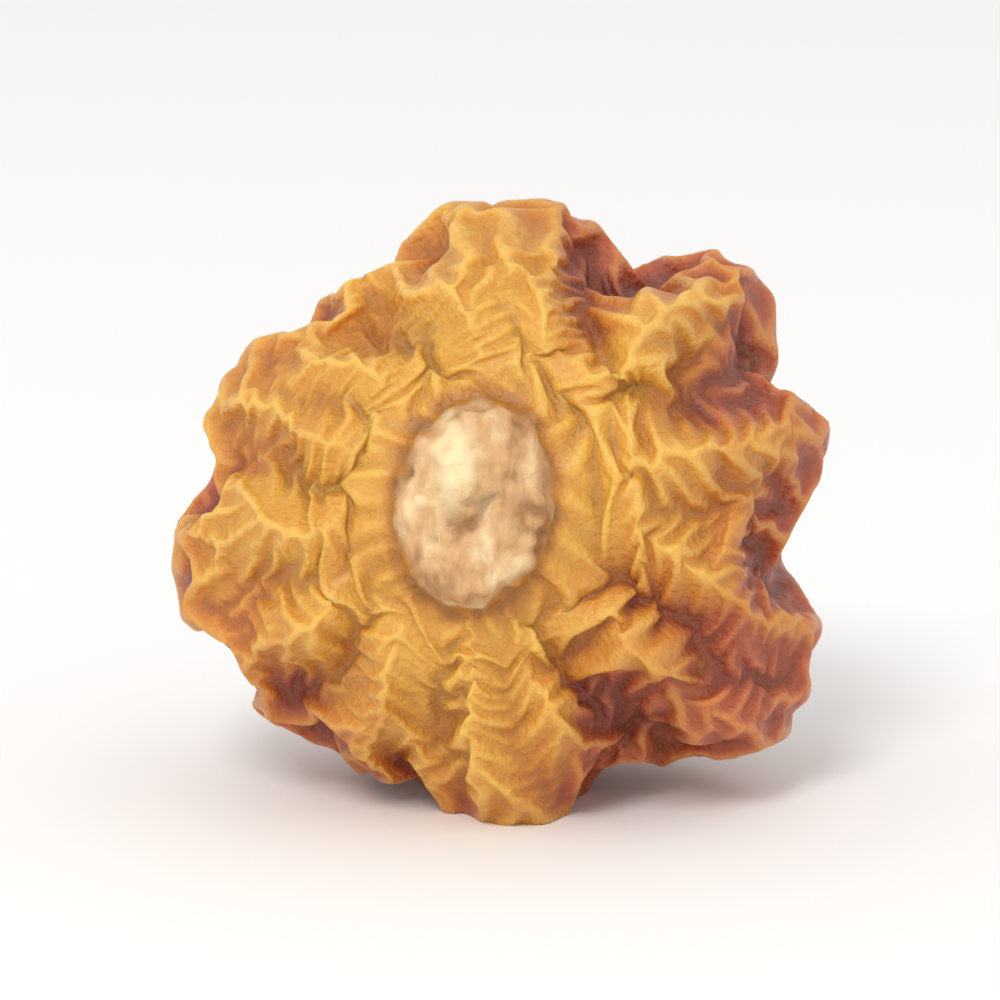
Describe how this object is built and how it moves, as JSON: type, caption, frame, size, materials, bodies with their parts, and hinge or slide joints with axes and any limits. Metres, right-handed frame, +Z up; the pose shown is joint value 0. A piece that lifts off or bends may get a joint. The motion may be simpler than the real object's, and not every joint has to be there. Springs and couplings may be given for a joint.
{
  "type": "physalis berry",
  "caption": "Dried physalis berry, a small shrivelled round fruit with pleated amber and red-brown skin and an oval calyx scar, for food displays and still lifes.",
  "frame": {"origin": "on the ground under the middle of the berry's bounding box", "axes": "+Z up, -Y to the front where the calyx scar looks out, +X to the right as the scar is looked at"},
  "size_m": [0.0142, 0.0116, 0.0129],
  "materials": {
    "berry_skin": "semi-gloss leathery dried fruit skin, golden amber round the pale corky scar and red-brown behind"
  },
  "bodies": {
    "root": {"berry": "berry_skin"}
  },
  "joints": []
}
